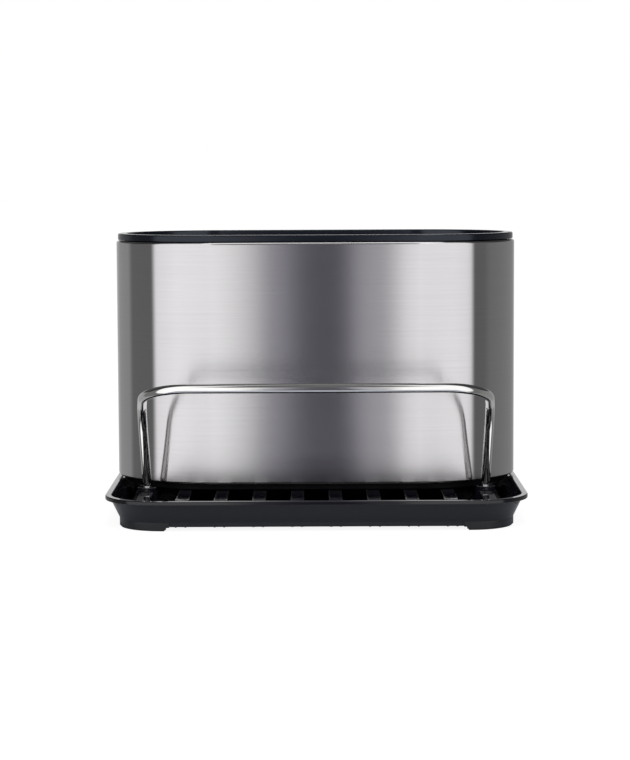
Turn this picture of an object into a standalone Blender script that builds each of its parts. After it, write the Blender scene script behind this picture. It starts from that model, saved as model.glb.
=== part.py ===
"""Sink organizer: an obround brushed steel sleeve with a black liner, standing at the back
of a black drip tray whose front carries a chrome hanging rail.

Metres, +Z up. The origin is on the ground under the middle of the tray, the front faces -Y
and the long side runs along X. Each sub-part is one object; a piece that lifts off hangs
from an empty on the line that it lifts along.
"""
import math

import bmesh
import bpy
from mathutils import Matrix, Vector

# General
CLEARANCE = 0.0003
ARC_STEPS = 20
CORNER_STEPS = 8

# Drip tray
TRAY_WIDTH = 0.2214
TRAY_DEPTH = 0.168
TRAY_HEIGHT = 0.0164
LIP_CORNER_RADIUS = 0.031
LIP_WIDTH = 0.0035
LIP_THICKNESS = 0.0023
LIP_ROUNDING = 0.0006
FLOOR_TOP = 0.005
FLOOR_THICKNESS = 0.002
SKIRT_INSET = 0.0075
SKIRT_THICKNESS = 0.002
SKIRT_GROUND_GAP = 0.0022
PLINTH_TOP = 0.0047
WALL_TOP_INSET = 0.0029
WALL_THICKNESS = 0.002

# Ribs that carry the container over the tray's floor, and the runners under them
RIB_COUNT = 8
RIB_PITCH = 0.02005
RIB_DROP = 0.0025
RIB_TOP_WIDTH = 0.007
RIB_BOTTOM_WIDTH = 0.0082
RIB_WALL = 0.0021
RIB_ROOF = 0.0015
RIB_END_SLOPE = 0.002
RIB_FRONT_MARGIN = 0.0235
RAIL_RIB_BACK_MARGIN = 0.018
RUNNER_WIDTH = 0.0009
RUNNER_SPACING = 0.005
RUNNER_GROUND_GAP = 0.0018

# Foot pads under the tray's corners
PAD_WIDTH = 0.005
PAD_STRAIGHT = 0.0037
PAD_END_BEVEL = 0.0018
PAD_STUD_RADIUS = 0.0015
PAD_STUD_LENGTH = 0.0018
LEDGE_WIDTH = 0.006
LEDGE_THICKNESS = 0.0026

# Steel sleeve
SLEEVE_WIDTH = 0.220
SLEEVE_DEPTH = 0.111
SLEEVE_HEIGHT = 0.1296
SLEEVE_SHEET = 0.0006
SLEEVE_EDGE_RADIUS = 0.0015
SLEEVE_TOP_FLANGE = 0.0036
SLEEVE_BOTTOM_FLANGE = 0.0032
SLEEVE_LIP_GAP = 0.001
SLEEVE_BACK_MARGIN = 0.0004

# Base inside the sleeve
BASE_PLATE_THICKNESS = 0.002
BASE_WALL_HEIGHT = 0.005
BASE_WALL_THICKNESS = 0.002
BASE_FOOT_GAP = 0.0005
BASE_FOOT_THICKNESS = 0.0025
BASE_SLOT_WIDTH = 0.009
BASE_SLOT_LENGTH = 0.052

# Liner
RIM_INSET = 0.00085
RIM_HEIGHT = 0.0035
RIM_WIDTH = 0.0047
RIM_ROUNDING = 0.0009
LINER_WALL = 0.002
LINER_TOP_INSET = 0.0056
LINER_DRAFT = 0.002
LINER_FLOOR_GAP = 0.0018
LINER_FLOOR_CHAMFER = 0.0015
SLOT_WIDTH = 0.005
SLOT_LENGTH = 0.036
SLOT_PITCH = 0.014
SLOTS_PER_COMPARTMENT = 5

# Divider in the liner
DIVIDER_X = 0.0
DIVIDER_THICKNESS = 0.002
DIVIDER_HEIGHT = 0.104
DIVIDER_NOTCH_RADIUS = 0.014
GUIDE_THICKNESS = 0.0015
GUIDE_DEPTH = 0.0028
GUIDE_TOP_MARGIN = 0.014

# Hanging rail and its grommets
WIRE_DIAMETER = 0.005
WIRE_SIDES = 14
PIN_DIAMETER = 0.0037
PIN_LENGTH = 0.010
NECK_TAPER = 0.0022
NECK_HEIGHT = 0.0008
RAIL_FOOT_INSET = 0.020
RAIL_FOOT_REACH = 0.0516
RAIL_KNEE_SPREAD = 0.0019
RAIL_KNEE_REACH = 0.0102
RAIL_KNEE_HEIGHT = 0.0585
RAIL_KNEE_RADIUS = 0.021
RAIL_BAR_INSET = 0.0042
RAIL_BAR_REACH = 0.045
RAIL_BAR_HEIGHT = 0.074
RAIL_CORNER_RADIUS = 0.026
GROMMET_FLANGE_DIAMETER = 0.0103
GROMMET_FLANGE_THICKNESS = 0.0019
GROMMET_BODY_DIAMETER = 0.007
SOCKET_WALL = 0.0018
SOCKET_FLOOR = 0.0015

# Levels and places that follow from the sizes above
LIP_BOTTOM = TRAY_HEIGHT - LIP_THICKNESS
RIB_TOP = TRAY_HEIGHT - RIB_DROP
FLOOR_BOTTOM = FLOOR_TOP - FLOOR_THICKNESS
FLOOR_MIDDLE = FLOOR_TOP - FLOOR_THICKNESS / 2
TRAY_FRONT = -TRAY_DEPTH / 2
TRAY_BACK = TRAY_DEPTH / 2
SLEEVE_RADIUS = SLEEVE_DEPTH / 2
SLEEVE_Y = TRAY_BACK - SLEEVE_BACK_MARGIN - SLEEVE_RADIUS
SLEEVE_BOTTOM = TRAY_HEIGHT + SLEEVE_LIP_GAP
SLEEVE_TOP = SLEEVE_BOTTOM + SLEEVE_HEIGHT
BASE_BOTTOM = RIB_TOP + CLEARANCE
BASE_PLATE_BOTTOM = SLEEVE_BOTTOM + SLEEVE_SHEET + CLEARANCE
BASE_PLATE_TOP = BASE_PLATE_BOTTOM + BASE_PLATE_THICKNESS
LINER_BOTTOM = BASE_PLATE_TOP + LINER_FLOOR_GAP
LINER_FLOOR = LINER_BOTTOM + LINER_WALL
RIM_BOTTOM = SLEEVE_TOP + CLEARANCE
RIM_TOP = RIM_BOTTOM + RIM_HEIGHT
RAIL_FOOT_X = TRAY_WIDTH / 2 - RAIL_FOOT_INSET
RAIL_FOOT_Y = SLEEVE_Y - RAIL_FOOT_REACH
GROMMET_TOP = RIB_TOP + CLEARANCE + GROMMET_FLANGE_THICKNESS
PIN_BOTTOM = GROMMET_TOP - PIN_LENGTH
GROMMET_BOTTOM = PIN_BOTTOM
SOCKET_BOTTOM = GROMMET_BOTTOM - CLEARANCE


def clear_scene():
    for item in list(bpy.data.objects):
        bpy.data.objects.remove(item, do_unlink=True)


def material(name, colour, roughness, metallic=0.0):
    made = bpy.data.materials.new(name)
    made.use_nodes = True
    shader = made.node_tree.nodes["Principled BSDF"]
    shader.inputs["Base Color"].default_value = (*colour, 1.0)
    shader.inputs["Roughness"].default_value = roughness
    shader.inputs["Metallic"].default_value = metallic
    return made


def make_object(name, mesh_data, finish=None, smooth=True):
    """Turns a bmesh into an object with outward faces and, if smooth, rounded shading."""
    bmesh.ops.recalc_face_normals(mesh_data, faces=mesh_data.faces)
    mesh = bpy.data.meshes.new(name)
    mesh_data.to_mesh(mesh)
    mesh_data.free()
    if smooth:
        mesh.shade_smooth()
        mesh.set_sharp_from_angle(angle=math.radians(35))
    made = bpy.data.objects.new(name, mesh)
    if finish:
        made.data.materials.append(finish)
    bpy.context.collection.objects.link(made)
    return made


def empty(name, place, parent=None):
    made = bpy.data.objects.new(name, None)
    made.empty_display_size = 0.02
    made.location = place
    bpy.context.collection.objects.link(made)
    if parent:
        attach(made, parent)
    return made


def attach(child, parent):
    """Parents without moving the child: its world place stays as it was."""
    bpy.context.view_layer.update()
    child.parent = parent
    child.matrix_parent_inverse = parent.matrix_world.inverted()


def as_tool(made):
    made.hide_render = True
    made.display_type = "WIRE"
    return made


def boolean(target, tool, operation):
    step = target.modifiers.new(tool.name, "BOOLEAN")
    step.object = as_tool(tool)
    step.operation = operation
    step.solver = "EXACT"


def obround(inset):
    """The sleeve's plan drawn in by an inset: two half circles and two straight sides."""
    radius = SLEEVE_RADIUS - inset
    centre = SLEEVE_WIDTH / 2 - SLEEVE_RADIUS
    points = []
    for side, start in ((1, -math.pi / 2), (-1, math.pi / 2)):
        for step in range(ARC_STEPS + 1):
            angle = start + math.pi * step / ARC_STEPS
            points.append((side * centre + radius * math.cos(angle), radius * math.sin(angle)))
    return points


def tray_outline(inset):
    """The tray's plan drawn in by an inset: a rectangle with round corners."""
    radius = LIP_CORNER_RADIUS - inset
    reach_x = TRAY_WIDTH / 2 - LIP_CORNER_RADIUS
    reach_y = TRAY_DEPTH / 2 - LIP_CORNER_RADIUS
    corners = ((1, -1, -90), (1, 1, 0), (-1, 1, 90), (-1, -1, 180))
    points = []
    for sign_x, sign_y, start in corners:
        for step in range(CORNER_STEPS + 1):
            angle = math.radians(start + 90 * step / CORNER_STEPS)
            points.append((sign_x * reach_x + radius * math.cos(angle),
                           sign_y * reach_y + radius * math.sin(angle)))
    return points


def loft(outline, profile, closed=False):
    """Sweeps a profile of (inset, z) around an outline; the ends are capped unless closed."""
    built = bmesh.new()
    loops = []
    for inset, z in profile:
        loops.append([built.verts.new((x, y, z)) for x, y in outline(inset)])
    pairs = list(zip(loops[:-1], loops[1:]))
    if closed:
        pairs.append((loops[-1], loops[0]))
    for lower, upper in pairs:
        for index in range(len(lower)):
            after = (index + 1) % len(lower)
            built.faces.new((lower[index], lower[after], upper[after], upper[index]))
    if not closed:
        built.faces.new(loops[0])
        built.faces.new(loops[-1])
    return built


def arc(centre, radius, start, stop, steps=3):
    """Points on part of a circle in an upright plane, angles in degrees."""
    points = []
    for step in range(steps + 1):
        angle = math.radians(start + (stop - start) * step / steps)
        points.append((centre[0] + radius * math.cos(angle), centre[1] + radius * math.sin(angle)))
    return points


def add_prism(built, corners, low, high):
    """Adds a closed prism over a plan polygon between two heights."""
    bottom = [built.verts.new((x, y, low)) for x, y in corners]
    top = [built.verts.new((x, y, high)) for x, y in corners]
    built.faces.new(bottom)
    built.faces.new(top)
    for index in range(len(corners)):
        after = (index + 1) % len(corners)
        built.faces.new((bottom[index], bottom[after], top[after], top[index]))


def rectangle(x, y, width, depth):
    return [(x - width / 2, y - depth / 2), (x + width / 2, y - depth / 2),
            (x + width / 2, y + depth / 2), (x - width / 2, y + depth / 2)]


def slot_outline(x, y, width, length, steps=6):
    """A slot with round ends that runs front to back."""
    radius = width / 2
    reach = length / 2 - radius
    points = []
    for side, start in ((-1, 180), (1, 0)):
        for step in range(steps + 1):
            angle = math.radians(start + 180 * step / steps)
            points.append((x + radius * math.cos(angle), y + side * reach + radius * math.sin(angle)))
    return points


def add_rib(built, x, fronts, backs, widths, levels):
    """Adds a block along Y; ends and widths are given for its low and its high level."""
    rings = []
    for front, back, width, z in zip(fronts, backs, widths, levels):
        rings.append([built.verts.new((x + side * width / 2, y, z))
                      for side, y in ((-1, front), (1, front), (1, back), (-1, back))])
    built.faces.new(rings[0])
    built.faces.new(rings[1])
    for index in range(4):
        after = (index + 1) % 4
        built.faces.new((rings[0][index], rings[0][after], rings[1][after], rings[1][index]))


def circle_outline(x, y, radius, steps=20):
    return [(x + radius * math.cos(2 * math.pi * step / steps),
             y + radius * math.sin(2 * math.pi * step / steps)) for step in range(steps)]


def corner_band(sign_x, sign_y, near, far, straight):
    """A plan band that follows one tray corner between two insets, with straight ends."""
    reach_x = TRAY_WIDTH / 2 - LIP_CORNER_RADIUS
    reach_y = TRAY_DEPTH / 2 - LIP_CORNER_RADIUS
    band = []
    for inset, order in ((near, 1), (far, -1)):
        radius = LIP_CORNER_RADIUS - inset
        edge = [(reach_x - straight, reach_y + radius)]
        for step in range(CORNER_STEPS + 1):
            angle = math.radians(90 - 90 * step / CORNER_STEPS)
            edge.append((reach_x + radius * math.cos(angle), reach_y + radius * math.sin(angle)))
        edge.append((reach_x + radius, reach_y - straight))
        band.extend(edge[::order])
    return [(sign_x * x, sign_y * y) for x, y in band]


def wall_inset(z):
    """How far the tray's outer wall is drawn in at a height: it leans out up to the lip."""
    share = (min(z, LIP_BOTTOM) - PLINTH_TOP) / (LIP_BOTTOM - PLINTH_TOP)
    return SKIRT_INSET + (WALL_TOP_INSET - SKIRT_INSET) * share


def rib_places():
    """Each rib's middle, its back ends at the floor and at the top, and its runners' front.

    The inner ribs run into the back wall and their runners start in the skirt. The ribs under
    the rail stop short of the corners, and so do their runners.
    """
    into_wall = [TRAY_BACK - inset - WALL_THICKNESS / 2 for inset in (SKIRT_INSET, wall_inset(RIB_TOP))]
    in_skirt = TRAY_FRONT + SKIRT_INSET + SKIRT_THICKNESS / 2
    first = -(RIB_COUNT - 1) / 2
    places = [((first + index) * RIB_PITCH, *into_wall, in_skirt) for index in range(RIB_COUNT)]
    back = TRAY_BACK - RAIL_RIB_BACK_MARGIN
    return places + [(side * RAIL_FOOT_X, back, back, TRAY_FRONT + RIB_FRONT_MARGIN) for side in (-1, 1)]


def rail_foot(side):
    return side * RAIL_FOOT_X, RAIL_FOOT_Y


def build_tray(plastic):
    rounded = LIP_ROUNDING
    profile = [(SKIRT_INSET, SKIRT_GROUND_GAP),
               (SKIRT_INSET, PLINTH_TOP),
               (WALL_TOP_INSET, LIP_BOTTOM),
               (rounded, LIP_BOTTOM),
               (0.0, LIP_BOTTOM + rounded),
               (0.0, TRAY_HEIGHT - rounded),
               (rounded, TRAY_HEIGHT),
               (LIP_WIDTH - rounded, TRAY_HEIGHT),
               (LIP_WIDTH, TRAY_HEIGHT - rounded),
               (WALL_TOP_INSET + WALL_THICKNESS, LIP_BOTTOM),
               (SKIRT_INSET + WALL_THICKNESS, FLOOR_TOP)]
    tray = make_object("drip_tray", loft(tray_outline, profile), plastic)

    hollow = loft(tray_outline, [(SKIRT_INSET + SKIRT_THICKNESS, SKIRT_GROUND_GAP - CLEARANCE),
                                 (SKIRT_INSET + SKIRT_THICKNESS, FLOOR_BOTTOM)])
    boolean(tray, make_object("tray_hollow_cutter", hollow, smooth=False), "DIFFERENCE")

    ribs = bmesh.new()
    rib_hollows = bmesh.new()
    runners = bmesh.new()
    front = TRAY_FRONT + RIB_FRONT_MARGIN
    hollow_front = front + RIB_WALL
    for x, back, top_back, runner_front in rib_places():
        add_rib(ribs, x, (front - RIB_END_SLOPE, front), (back, top_back),
                (RIB_BOTTOM_WIDTH, RIB_TOP_WIDTH), (FLOOR_MIDDLE, RIB_TOP))
        hollow_back = min(back, TRAY_BACK - SKIRT_INSET - SKIRT_THICKNESS) - RIB_WALL
        add_rib(rib_hollows, x, (hollow_front - RIB_END_SLOPE, hollow_front), (hollow_back, hollow_back),
                (RIB_BOTTOM_WIDTH - 2 * RIB_WALL, RIB_TOP_WIDTH - 2 * RIB_WALL),
                (FLOOR_BOTTOM - CLEARANCE, RIB_TOP - RIB_ROOF))
        for side in (-1, 1):
            add_prism(runners, rectangle(x + side * RUNNER_SPACING / 2, (runner_front + hollow_back) / 2,
                                         RUNNER_WIDTH, hollow_back - runner_front),
                      RUNNER_GROUND_GAP, FLOOR_MIDDLE)
    boolean(tray, make_object("tray_rib_union", ribs, smooth=False), "UNION")
    boolean(tray, make_object("tray_rib_cutter", rib_hollows, smooth=False), "DIFFERENCE")
    boolean(tray, make_object("tray_runner_union", runners, smooth=False), "UNION")

    bosses = bmesh.new()
    for side in (-1, 1):
        x, y = rail_foot(side)
        radius = GROMMET_BODY_DIAMETER / 2 + CLEARANCE + SOCKET_WALL
        add_prism(bosses, circle_outline(x, y, radius), SOCKET_BOTTOM - SOCKET_FLOOR, RIB_TOP)
    boolean(tray, make_object("tray_boss_union", bosses, smooth=False), "UNION")

    ledges = bmesh.new()
    for sign_x in (-1, 1):
        for sign_y in (-1, 1):
            add_prism(ledges, corner_band(sign_x, sign_y, SKIRT_INSET + SKIRT_THICKNESS / 4,
                                          SKIRT_INSET + LEDGE_WIDTH, PAD_STRAIGHT),
                      PLINTH_TOP, PLINTH_TOP + LEDGE_THICKNESS)
    boolean(tray, make_object("tray_ledge_union", ledges, smooth=False), "UNION")

    sockets = bmesh.new()
    for side in (-1, 1):
        x, y = rail_foot(side)
        add_prism(sockets, circle_outline(x, y, GROMMET_BODY_DIAMETER / 2 + CLEARANCE),
                  SOCKET_BOTTOM, RIB_TOP + CLEARANCE)
    boolean(tray, make_object("tray_socket_cutter", sockets, smooth=False), "DIFFERENCE")

    notches = bmesh.new()
    studs = bmesh.new()
    for sign_x in (-1, 1):
        for sign_y in (-1, 1):
            add_prism(notches, corner_band(sign_x, sign_y, SKIRT_INSET - CLEARANCE,
                                           SKIRT_INSET + PAD_WIDTH + CLEARANCE,
                                           PAD_STRAIGHT + CLEARANCE),
                      SKIRT_GROUND_GAP - CLEARANCE, PLINTH_TOP - CLEARANCE)
            x, y = pad_stud_place(sign_x, sign_y)
            add_prism(studs, circle_outline(x, y, PAD_STUD_RADIUS + CLEARANCE, 12),
                      PLINTH_TOP - 2 * CLEARANCE, PLINTH_TOP + PAD_STUD_LENGTH)
    boolean(tray, make_object("tray_stud_cutter", studs, smooth=False), "DIFFERENCE")
    boolean(tray, make_object("tray_notch_cutter", notches, smooth=False), "DIFFERENCE")
    return tray


def pad_stud_place(sign_x, sign_y):
    """The middle of a pad's band, on its corner's diagonal."""
    reach_x = TRAY_WIDTH / 2 - LIP_CORNER_RADIUS
    reach_y = TRAY_DEPTH / 2 - LIP_CORNER_RADIUS
    middle = (LIP_CORNER_RADIUS - SKIRT_INSET - PAD_WIDTH / 2) * math.sqrt(0.5)
    return sign_x * (reach_x + middle), sign_y * (reach_y + middle)


def build_pad(name, sign_x, sign_y, rubber):
    """A corner foot: a band with a stud on top and a bevelled edge at each end."""
    built = bmesh.new()
    top = PLINTH_TOP - 2 * CLEARANCE
    outline = corner_band(sign_x, sign_y, SKIRT_INSET, SKIRT_INSET + PAD_WIDTH, PAD_STRAIGHT)
    add_prism(built, outline, 0.0, top)
    bmesh.ops.recalc_face_normals(built, faces=built.faces)
    ends = []
    count = len(outline)
    half = count // 2
    built.verts.ensure_lookup_table()
    for first, second in ((0, count - 1), (half - 1, half)):
        edge = built.edges.get((built.verts[first], built.verts[second]))
        ends.append(edge)
    bmesh.ops.bevel(built, geom=ends, offset=PAD_END_BEVEL, segments=3, affect="EDGES")
    pad = make_object(name, built, rubber)
    stud = bmesh.new()
    x, y = pad_stud_place(sign_x, sign_y)
    add_prism(stud, circle_outline(x, y, PAD_STUD_RADIUS, 12), top - CLEARANCE,
              PLINTH_TOP + PAD_STUD_LENGTH - CLEARANCE)
    boolean(pad, make_object(name + "_stud_union", stud, smooth=False), "UNION")
    return pad


def build_sleeve(steel):
    sheet, edge = SLEEVE_SHEET, SLEEVE_EDGE_RADIUS
    low, high = SLEEVE_BOTTOM, SLEEVE_TOP
    profile = [(SLEEVE_BOTTOM_FLANGE, low)]
    profile += arc((edge, low + edge), edge, 270, 180, 4)
    profile += arc((edge, high - edge), edge, 180, 90, 4)
    profile += [(SLEEVE_TOP_FLANGE, high), (SLEEVE_TOP_FLANGE, high - sheet)]
    profile += arc((edge, high - edge), edge - sheet, 90, 180, 3)
    profile += arc((edge, low + edge), edge - sheet, 180, 270, 3)
    profile += [(SLEEVE_BOTTOM_FLANGE, low + sheet)]
    sleeve = make_object("steel_sleeve", loft(obround, profile, closed=True), steel)
    sleeve.location.y = SLEEVE_Y
    return sleeve


def build_base(plastic):
    """The plate that closes the sleeve's bottom: a foot ring below, a locating wall above."""
    beside = SLEEVE_SHEET + CLEARANCE
    plate, top = BASE_PLATE_BOTTOM, BASE_PLATE_TOP
    foot_outer = wall_inset(BASE_BOTTOM) + WALL_THICKNESS + BASE_FOOT_GAP - SLEEVE_BACK_MARGIN
    foot_inner = foot_outer + BASE_FOOT_THICKNESS
    wall_top = plate + BASE_WALL_HEIGHT
    profile = [(foot_inner, plate),
               (foot_inner, BASE_BOTTOM),
               (foot_outer, BASE_BOTTOM),
               (foot_outer, plate),
               (SLEEVE_EDGE_RADIUS + CLEARANCE, plate),
               (beside, plate + SLEEVE_EDGE_RADIUS),
               (beside, wall_top),
               (beside + BASE_WALL_THICKNESS, wall_top),
               (beside + BASE_WALL_THICKNESS, top)]
    base = make_object("sleeve_base", loft(obround, profile), plastic)
    slots = bmesh.new()
    for x in slot_places():
        add_prism(slots, slot_outline(x, 0.0, BASE_SLOT_WIDTH, BASE_SLOT_LENGTH),
                  plate - CLEARANCE, top + CLEARANCE)
    boolean(base, make_object("base_slot_cutter", slots, smooth=False), "DIFFERENCE")
    return base


def compartment_places():
    """Middles of the two compartments, one on each side of the divider."""
    floor_reach = SLEEVE_WIDTH / 2 - inner_inset(LINER_FLOOR)
    return ((DIVIDER_X - floor_reach) / 2, (DIVIDER_X + floor_reach) / 2)


def slot_places():
    first = -(SLOTS_PER_COMPARTMENT - 1) / 2
    places = []
    for middle in compartment_places():
        places += [middle + (first + index) * SLOT_PITCH for index in range(SLOTS_PER_COMPARTMENT)]
    return places


def inner_inset(z):
    """How far the liner's inner face is drawn in at a height, because of its draft."""
    share = (RIM_BOTTOM - z) / (RIM_BOTTOM - LINER_BOTTOM)
    return LINER_TOP_INSET + LINER_WALL + LINER_DRAFT * share


def build_liner(plastic):
    chamfer = LINER_FLOOR_CHAMFER
    outer_low = inner_inset(LINER_BOTTOM + chamfer) - LINER_WALL
    rim_inner = RIM_INSET + RIM_WIDTH
    rounding = RIM_ROUNDING
    profile = [(outer_low + chamfer, LINER_BOTTOM),
               (outer_low, LINER_BOTTOM + chamfer),
               (LINER_TOP_INSET, RIM_BOTTOM),
               (RIM_INSET + rounding / 2, RIM_BOTTOM)]
    profile += [(RIM_INSET, RIM_BOTTOM + rounding / 2)]
    profile += arc((RIM_INSET + rounding, RIM_TOP - rounding), rounding, 180, 90)
    profile += arc((rim_inner - rounding, RIM_TOP - rounding), rounding, 90, 0)
    profile += [(inner_inset(RIM_BOTTOM), RIM_BOTTOM - RIM_HEIGHT / 2),
                (inner_inset(LINER_FLOOR + chamfer), LINER_FLOOR + chamfer),
                (inner_inset(LINER_FLOOR) + chamfer, LINER_FLOOR)]
    liner = make_object("liner", loft(obround, profile), plastic)

    guides = bmesh.new()
    spread = DIVIDER_THICKNESS / 2 + CLEARANCE + GUIDE_THICKNESS / 2
    for side in (-1, 1):
        for end in (-1, 1):
            add_guide(guides, DIVIDER_X + side * spread, end)
    boolean(liner, make_object("liner_guide_union", guides, smooth=False), "UNION")

    slots = bmesh.new()
    for x in slot_places():
        add_prism(slots, slot_outline(x, 0.0, SLOT_WIDTH, SLOT_LENGTH),
                  LINER_BOTTOM - CLEARANCE, LINER_FLOOR + CLEARANCE)
    boolean(liner, make_object("liner_slot_cutter", slots, smooth=False), "DIFFERENCE")
    return liner


def add_guide(built, x, end):
    """A rib on the front or back inner wall that follows the wall's draft."""
    low = LINER_FLOOR - LINER_WALL / 2
    high = RIM_BOTTOM - GUIDE_TOP_MARGIN
    rings = []
    for z in (low, high):
        wall = SLEEVE_RADIUS - inner_inset(z)
        near, far = wall - GUIDE_DEPTH, wall + LINER_WALL / 2
        rings.append([built.verts.new((x + side * GUIDE_THICKNESS / 2, end * y, z))
                      for side, y in ((-1, near), (1, near), (1, far), (-1, far))])
    built.faces.new(rings[0])
    built.faces.new(rings[1])
    for index in range(4):
        after = (index + 1) % 4
        built.faces.new((rings[0][index], rings[0][after], rings[1][after], rings[1][index]))


def build_divider(plastic):
    """A plate that fits between the guides, with a round finger notch in its top edge."""
    low = LINER_FLOOR + CLEARANCE
    high = low + DIVIDER_HEIGHT
    chamfer = LINER_FLOOR_CHAMFER
    bottom = SLEEVE_RADIUS - inner_inset(low) - chamfer - CLEARANCE
    lower = SLEEVE_RADIUS - inner_inset(low + 2 * chamfer) - CLEARANCE
    upper = SLEEVE_RADIUS - inner_inset(high) - CLEARANCE
    outline = [(-bottom, low), (-lower, low + 2 * chamfer), (-upper, high)]
    outline += arc((0.0, high), DIVIDER_NOTCH_RADIUS, 180, 360, 12)
    outline += [(upper, high), (lower, low + 2 * chamfer), (bottom, low)]
    built = bmesh.new()
    sides = []
    for face in (-DIVIDER_THICKNESS / 2, DIVIDER_THICKNESS / 2):
        sides.append([built.verts.new((face, y, z)) for y, z in outline])
        built.faces.new(sides[-1])
    for index in range(len(outline)):
        after = (index + 1) % len(outline)
        built.faces.new((sides[0][index], sides[0][after], sides[1][after], sides[1][index]))
    divider = make_object("divider", built, plastic)
    divider.location = (DIVIDER_X, SLEEVE_Y, 0.0)
    return divider


def rounded_path(corners, radii, steps=9):
    """Points along straight runs whose corners are arcs of the given radii."""
    points = [corners[0]]
    for before, corner, after, radius in zip(corners, corners[1:], corners[2:], radii):
        back = (before - corner).normalized()
        ahead = (after - corner).normalized()
        half = back.angle(ahead) / 2
        centre = corner + (back + ahead).normalized() * radius / math.sin(half)
        start = corner + back * radius / math.tan(half) - centre
        axis = back.cross(ahead).normalized()
        sweep = math.pi - 2 * half
        for step in range(steps + 1):
            turn = Matrix.Rotation(-sweep * step / steps, 3, axis)
            points.append(centre + turn @ start)
    points.append(corners[-1])
    return points


def sweep_circle(points, radii, sides):
    """A round bar along points, one radius for each, with flat ends and no twist."""
    built = bmesh.new()
    normal = Vector((1.0, 0.0, 0.0))
    rings = []
    for index, (point, radius) in enumerate(zip(points, radii)):
        before = points[max(index - 1, 0)]
        after = points[min(index + 1, len(points) - 1)]
        along = (after - before).normalized()
        normal = (normal - along * normal.dot(along)).normalized()
        across = along.cross(normal)
        rings.append([built.verts.new(point + (normal * math.cos(2 * math.pi * step / sides)
                                               + across * math.sin(2 * math.pi * step / sides)) * radius)
                      for step in range(sides)])
    for lower, upper in zip(rings[:-1], rings[1:]):
        for step in range(sides):
            after = (step + 1) % sides
            built.faces.new((lower[step], lower[after], upper[after], upper[step]))
    built.faces.new(rings[0])
    built.faces.new(rings[-1])
    return built


def build_rail(chrome):
    """One bent wire: pins in the grommets, leaning legs, knees, and the bar in front."""
    foot_x, foot_y = rail_foot(1)
    pin, wire = PIN_DIAMETER / 2, WIRE_DIAMETER / 2
    neck = GROMMET_TOP + NECK_HEIGHT
    knee = Vector((foot_x + RAIL_KNEE_SPREAD, foot_y - RAIL_KNEE_REACH, RAIL_KNEE_HEIGHT))
    start = Vector((foot_x, foot_y, neck))
    corner = Vector((knee.x - RAIL_BAR_INSET, knee.y - RAIL_BAR_REACH, RAIL_BAR_HEIGHT))
    middle = Vector((0.0, corner.y, corner.z))
    bend = rounded_path([start, knee, corner, middle], (RAIL_KNEE_RADIUS, RAIL_CORNER_RADIUS))
    shoulder = start + (knee - start).normalized() * NECK_TAPER
    half = [Vector((foot_x, foot_y, PIN_BOTTOM)), start, shoulder] + bend[1:-1]
    radii = [pin, pin, wire] + [wire] * (len(bend) - 2)
    points = half + [Vector((-p.x, p.y, p.z)) for p in reversed(half)]
    return make_object("hanging_rail", sweep_circle(points, radii + radii[::-1], WIRE_SIDES), chrome)


def build_grommet(name, side, rubber):
    """A flanged bush: the flange lies on its rib and the body fills the rib's socket."""
    x, y = rail_foot(side)
    hole = PIN_DIAMETER / 2 + CLEARANCE
    flange = GROMMET_FLANGE_DIAMETER / 2
    body = GROMMET_BODY_DIAMETER / 2
    seat = RIB_TOP + CLEARANCE
    profile = [(hole, GROMMET_BOTTOM), (body, GROMMET_BOTTOM), (body, seat), (flange, seat),
               (flange, GROMMET_TOP - CLEARANCE), (flange - CLEARANCE, GROMMET_TOP), (hole, GROMMET_TOP)]
    built = loft(lambda radius: circle_outline(0.0, 0.0, radius), profile, closed=True)
    grommet = make_object(name, built, rubber)
    grommet.location = (x, y, 0.0)
    return grommet


def main():
    clear_scene()
    steel = material("brushed_steel", (0.55, 0.55, 0.54), 0.32, 1.0)
    chrome = material("chrome", (0.80, 0.80, 0.80), 0.08, 1.0)
    gloss = material("gloss_black_plastic", (0.012, 0.013, 0.016), 0.18)
    satin = material("satin_black_plastic", (0.016, 0.017, 0.019), 0.38)
    rubber = material("black_rubber", (0.020, 0.020, 0.021), 0.60)

    build_tray(gloss)
    for name, sign_x, sign_y in (("foot_pad_front_left", -1, -1), ("foot_pad_front_right", 1, -1),
                                 ("foot_pad_back_left", -1, 1), ("foot_pad_back_right", 1, 1)):
        build_pad(name, sign_x, sign_y, rubber)
    build_grommet("rail_grommet_left", -1, rubber)
    build_grommet("rail_grommet_right", 1, rubber)

    rail_axis = empty("rail_lift_axis", (0.0, RAIL_FOOT_Y, RIB_TOP))
    attach(build_rail(chrome), rail_axis)

    container_axis = empty("container_lift_axis", (0.0, SLEEVE_Y, RIB_TOP))
    attach(build_sleeve(steel), container_axis)
    base = build_base(satin)
    base.location.y = SLEEVE_Y
    bpy.data.objects["base_slot_cutter"].location.y = SLEEVE_Y
    attach(base, container_axis)

    liner_axis = empty("liner_lift_axis", (0.0, SLEEVE_Y, RIM_BOTTOM), container_axis)
    liner = build_liner(satin)
    liner.location.y = SLEEVE_Y
    for tool in ("liner_guide_union", "liner_slot_cutter"):
        bpy.data.objects[tool].location.y = SLEEVE_Y
    attach(liner, liner_axis)

    divider_axis = empty("divider_lift_axis", (DIVIDER_X, SLEEVE_Y, LINER_FLOOR), liner_axis)
    attach(build_divider(satin), divider_axis)


main()
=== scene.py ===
"""The looks of the sink organizer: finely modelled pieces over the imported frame, their finishes,
a plain studio and the camera of the photograph. Metres, +Z up, front towards -Y.
"""
import math

import bmesh
import bpy
from mathutils import Matrix, Vector


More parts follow.
